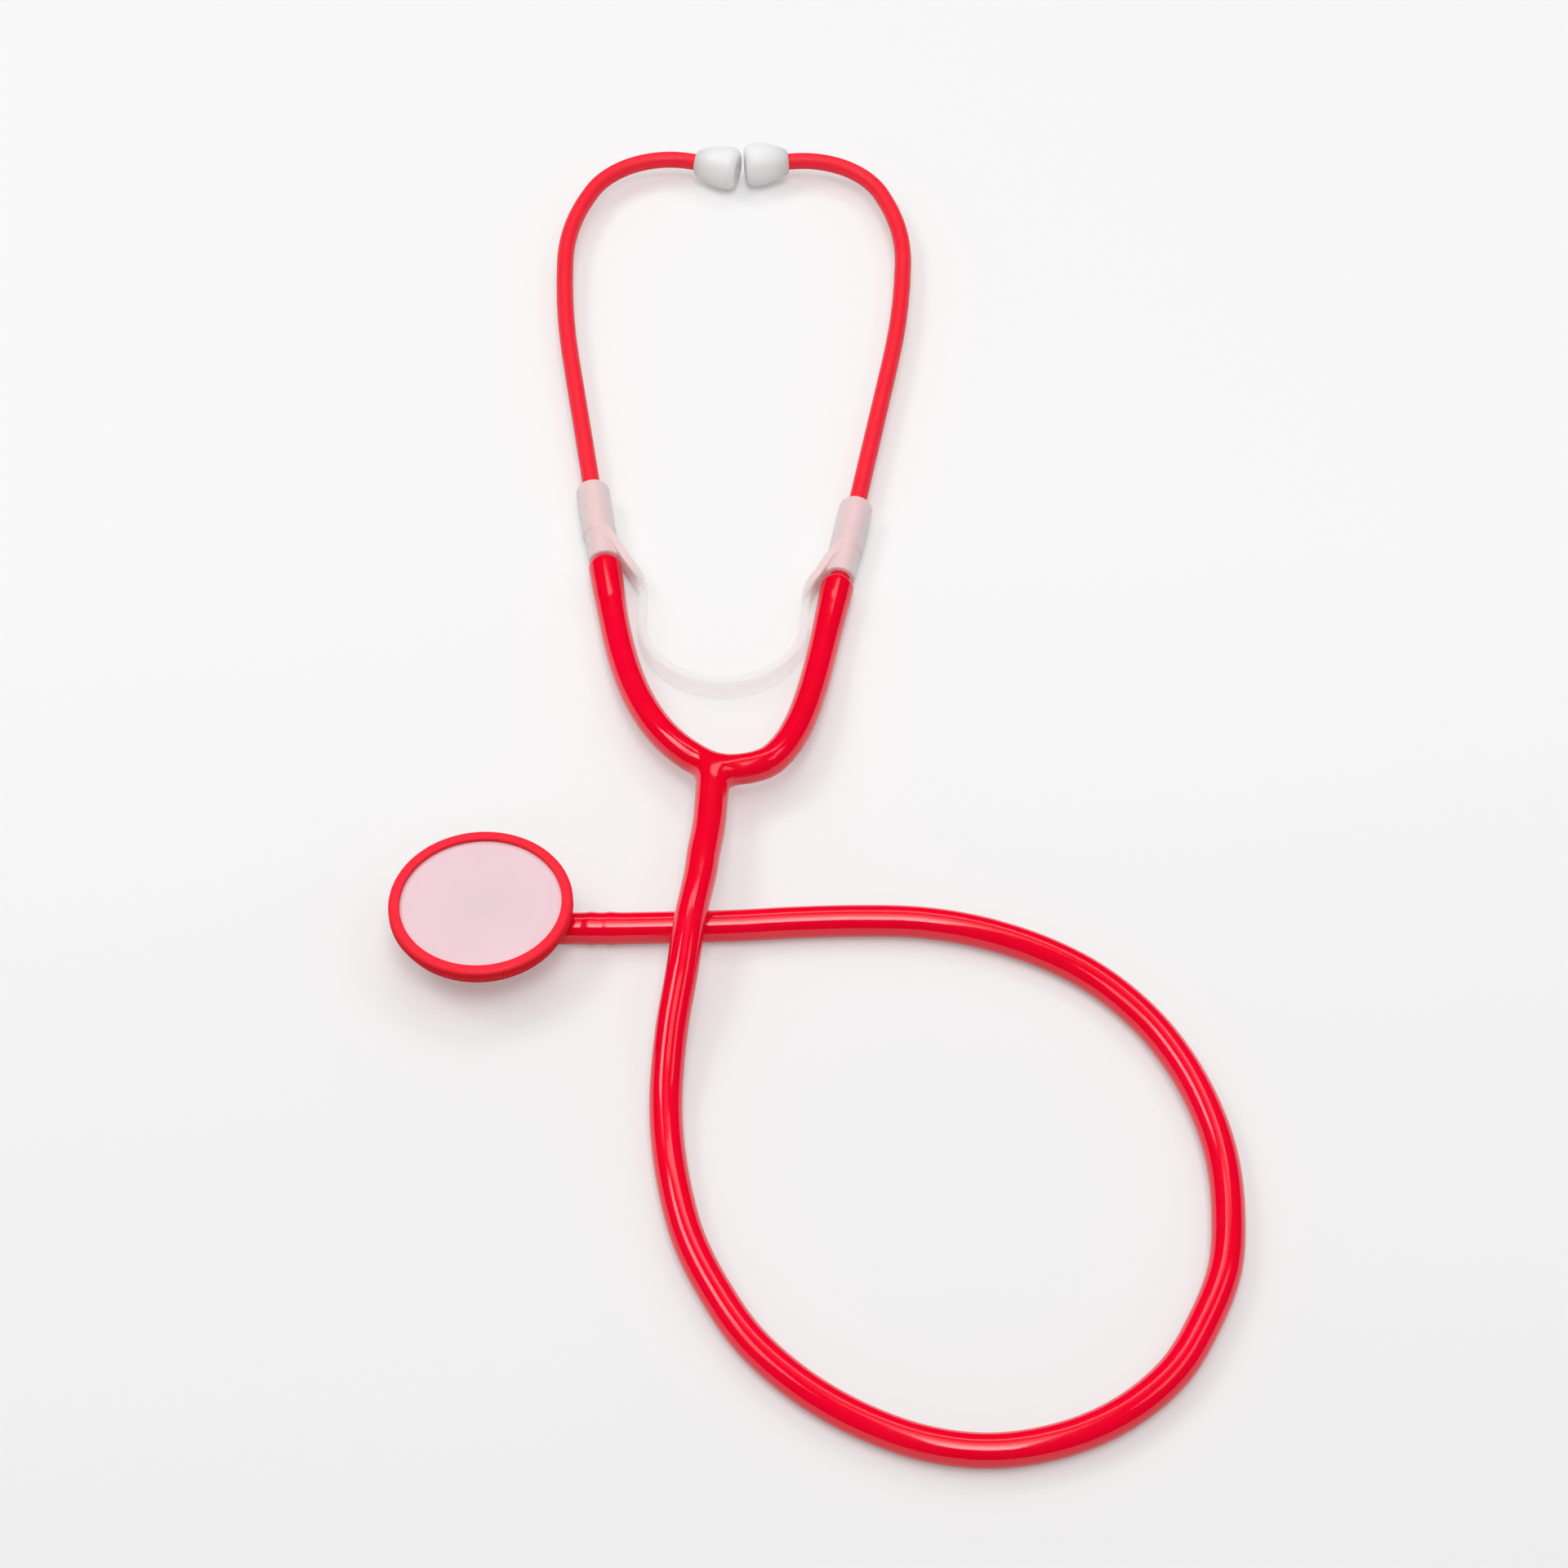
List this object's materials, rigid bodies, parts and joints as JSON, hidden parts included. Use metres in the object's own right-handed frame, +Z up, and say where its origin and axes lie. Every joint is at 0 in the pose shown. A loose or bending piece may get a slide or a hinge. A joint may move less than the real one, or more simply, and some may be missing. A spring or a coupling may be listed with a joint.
{
  "type": "toy stethoscope",
  "caption": "Toy stethoscope lying flat: sprung headset with soft ear tips, Y-shaped soft tube in a long loop, and a round chest piece with a milled ring and a membrane.",
  "frame": {"origin": "centre of the object's box on the table, without the long tube", "axes": "+Z up from the table, +Y from the Y of the tubing towards the ear tips, +X to the side of the tube's loop"},
  "size_m": [0.1979, 0.4367, 0.0162],
  "materials": {
    "ear_tip": "white soft moulded, satin",
    "hard_red": "red moulded plastic, glossy",
    "soft_red": "red soft tubing, glossy",
    "frosted": "frosted translucent moulded plastic",
    "membrane": "milky translucent film"
  },
  "bodies": {
    "frame": {"y_yoke": "soft_red", "tubing": "soft_red", "chest_cup": "hard_red", "bridge_strap": "frosted"},
    "left_side": {"left_sleeve": "frosted", "left_arm": "soft_red"},
    "right_side": {"right_sleeve": "frosted", "right_arm": "soft_red"},
    "left_ear": {"left_ear_tube": "hard_red"},
    "right_ear": {"right_ear_tube": "hard_red"},
    "left_tip": {"left_ear_tip": "ear_tip"},
    "right_tip": {"right_ear_tip": "ear_tip"},
    "membrane": {"diaphragm": "membrane"},
    "ring": {"retaining_ring": "hard_red"}
  },
  "joints": [
    {"name": "left_spread", "type": "hinge", "parent": "frame", "child": "left_side", "pos_m": [-0.0016, -0.0797, 0.008], "axis": [0, 0, 1], "range_deg": [0, 18], "stiffness_Nm_per_rad": 0.4, "deforming": ["bridge_strap", "left_arm"]},
    {"name": "right_spread", "type": "hinge", "parent": "frame", "child": "right_side", "pos_m": [0.0284, -0.0801, 0.008], "axis": [0, 0, -1], "range_deg": [0, 18], "stiffness_Nm_per_rad": 0.4, "deforming": ["bridge_strap", "right_arm"]},
    {"name": "left_tube_turn", "type": "hinge", "parent": "left_side", "child": "left_ear", "pos_m": [-0.01624, -0.02547, 0.00444], "axis": [0.149, -0.9888, -0.0106], "range_deg": [0, 25]},
    {"name": "right_tube_turn", "type": "hinge", "parent": "right_side", "child": "right_ear", "pos_m": [0.04179, -0.02631, 0.00444], "axis": [0.1776, 0.984, 0.0106], "range_deg": [0, 25]},
    {"name": "left_tip_turn", "type": "hinge", "parent": "left_ear", "child": "left_tip", "pos_m": [0.0033, 0.15068, 0.00633], "axis": [0.9651, -0.262, -0.0027], "continuous": true},
    {"name": "right_tip_turn", "type": "hinge", "parent": "right_ear", "child": "right_tip", "pos_m": [0.02999, 0.15096, 0.00634], "axis": [-0.992, -0.126, -0.0015], "continuous": true},
    {"name": "ring_lift", "type": "slide", "parent": "frame", "child": "membrane", "axis": [0, 0, 1], "range_m": [0, 0.0015]},
    {"name": "ring_turn", "type": "hinge", "parent": "membrane", "child": "ring", "pos_m": [-0.0433, -0.134, 0.0145], "axis": [0, 0, 1], "range_deg": [0, 450]}
  ],
  "couplings": [
    {"joint": "right_spread", "follows": "left_spread", "ratio": 1},
    {"joint": "ring_lift", "follows": "ring_turn", "m_per_rad": 0.00019}
  ]
}
